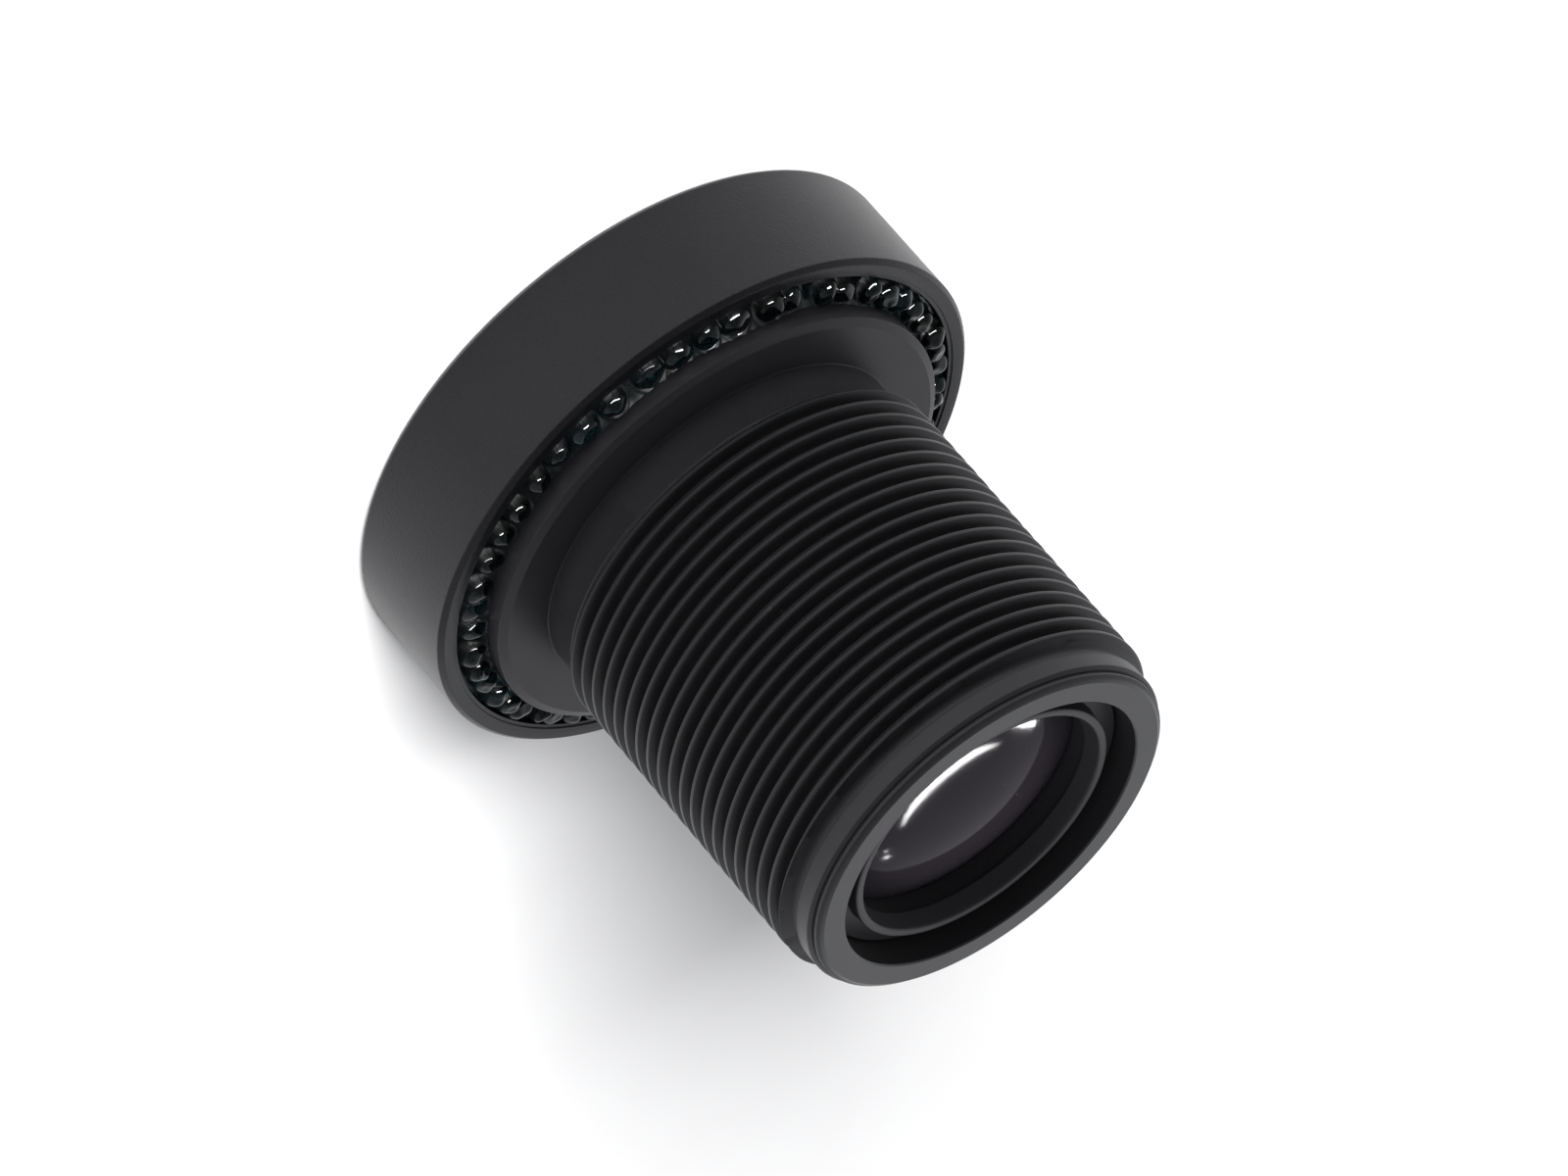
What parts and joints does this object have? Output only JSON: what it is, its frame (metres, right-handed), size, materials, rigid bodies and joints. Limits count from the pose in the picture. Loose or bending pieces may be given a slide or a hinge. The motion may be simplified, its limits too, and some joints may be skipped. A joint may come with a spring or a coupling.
{
  "type": "m12 board camera lens",
  "caption": "Fixed-focus board-camera lens: black threaded metal barrel, wide smooth head ring with glued joint, domed coated glass at both ends.",
  "frame": {"origin": "centre of the flat front rim of the head ring, on which the lens stands", "axes": "+Z runs along the optical axis from the front rim to the rear face at the sensor end; X and Y are equivalent directions across the round barrel"},
  "size_m": [0.0173, 0.0172, 0.0168],
  "materials": {
    "anodised_black": "satin black anodised",
    "head_black": "fine-blasted black anodised",
    "adhesive": "glossy cured dark adhesive",
    "ring_black": "satin black anodised",
    "spacer_black": "matt black anodised",
    "coated_glass": "polished with an anti-reflection coating",
    "inner_glass": "polished",
    "seal_rubber": "matt",
    "foil_black": "matt black film"
  },
  "bodies": {
    "root": {"barrel": "anodised_black", "head_ring": "head_black", "adhesive_ring": "adhesive", "front_retaining_ring": "ring_black", "front_element": "coated_glass", "front_seal": "seal_rubber", "first_spacer": "spacer_black", "second_lens": "inner_glass", "second_spacer": "spacer_black", "third_lens": "inner_glass", "aperture_stop": "foil_black", "third_spacer": "spacer_black", "fourth_lens": "inner_glass", "fourth_spacer": "spacer_black", "doublet_crown": "inner_glass", "doublet_flint": "inner_glass", "fifth_spacer": "spacer_black", "light_baffle": "foil_black", "rear_lens": "coated_glass", "rear_retaining_ring": "ring_black"}
  },
  "joints": []
}
